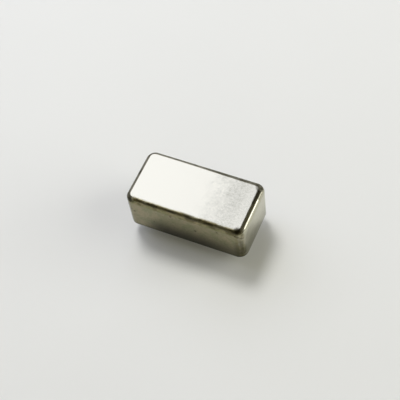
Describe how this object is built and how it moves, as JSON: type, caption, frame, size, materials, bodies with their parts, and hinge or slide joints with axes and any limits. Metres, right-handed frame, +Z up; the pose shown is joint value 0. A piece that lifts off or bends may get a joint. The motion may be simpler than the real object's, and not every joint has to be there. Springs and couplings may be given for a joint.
{
  "type": "voltage controlled oscillator",
  "caption": "Voltage controlled oscillator in a rounded rectangular metal can that stands on rows of round pins, with a glass-sealed base plate and its circuit board inside.",
  "frame": {"origin": "centre of the pin grid, on the plane of the can's rim, which seats on a circuit board", "axes": "+X along the can's length, towards the end with the tuning pin; +Z up, out of the closed end; the pins point along -Z"},
  "size_m": [0.0196, 0.0098, 0.0092],
  "materials": {
    "can_metal": "satin nickel plate on drawn steel",
    "header_metal": "satin plated base plate",
    "tinned_wire": "bright tin on round wire",
    "solder": "smooth solder",
    "seal_glass": "greenish sealing glass",
    "index_glass": "blue sealing glass that marks the first pin",
    "board_laminate": "green solder mask on glass-epoxy",
    "moulded_epoxy": "black moulding compound with tinned leads",
    "capacitor_ceramic": "tan ceramic with tinned ends",
    "resistor_ceramic": "dark glazed ceramic with tinned ends",
    "copper_wire": "enamelled copper wire",
    "ferrite": "dark sintered ferrite with tinned ends"
  },
  "bodies": {
    "root": {"buffer_transistor": "moulded_epoxy", "can": "can_metal", "capacitor_1": "capacitor_ceramic", "capacitor_2": "capacitor_ceramic", "capacitor_3": "capacitor_ceramic", "capacitor_4": "capacitor_ceramic", "capacitor_5": "capacitor_ceramic", "capacitor_6": "capacitor_ceramic", "circuit_board": "board_laminate", "glass_bead_1": "index_glass", "glass_bead_2": "seal_glass", "glass_bead_8": "seal_glass", "header": "header_metal", "oscillator_transistor": "moulded_epoxy", "pin_1": "tinned_wire", "pin_2": "tinned_wire", "pin_3": "tinned_wire", "pin_4": "tinned_wire", "pin_5": "tinned_wire", "pin_6": "tinned_wire", "pin_7": "tinned_wire", "pin_8": "tinned_wire", "pin_solder": "solder", "resistor_1": "resistor_ceramic", "resistor_2": "resistor_ceramic", "resistor_3": "resistor_ceramic", "resistor_4": "resistor_ceramic", "seam_solder": "solder", "supply_choke": "ferrite", "tank_coil": "copper_wire", "varactor_1": "moulded_epoxy", "varactor_2": "moulded_epoxy"}
  },
  "joints": []
}
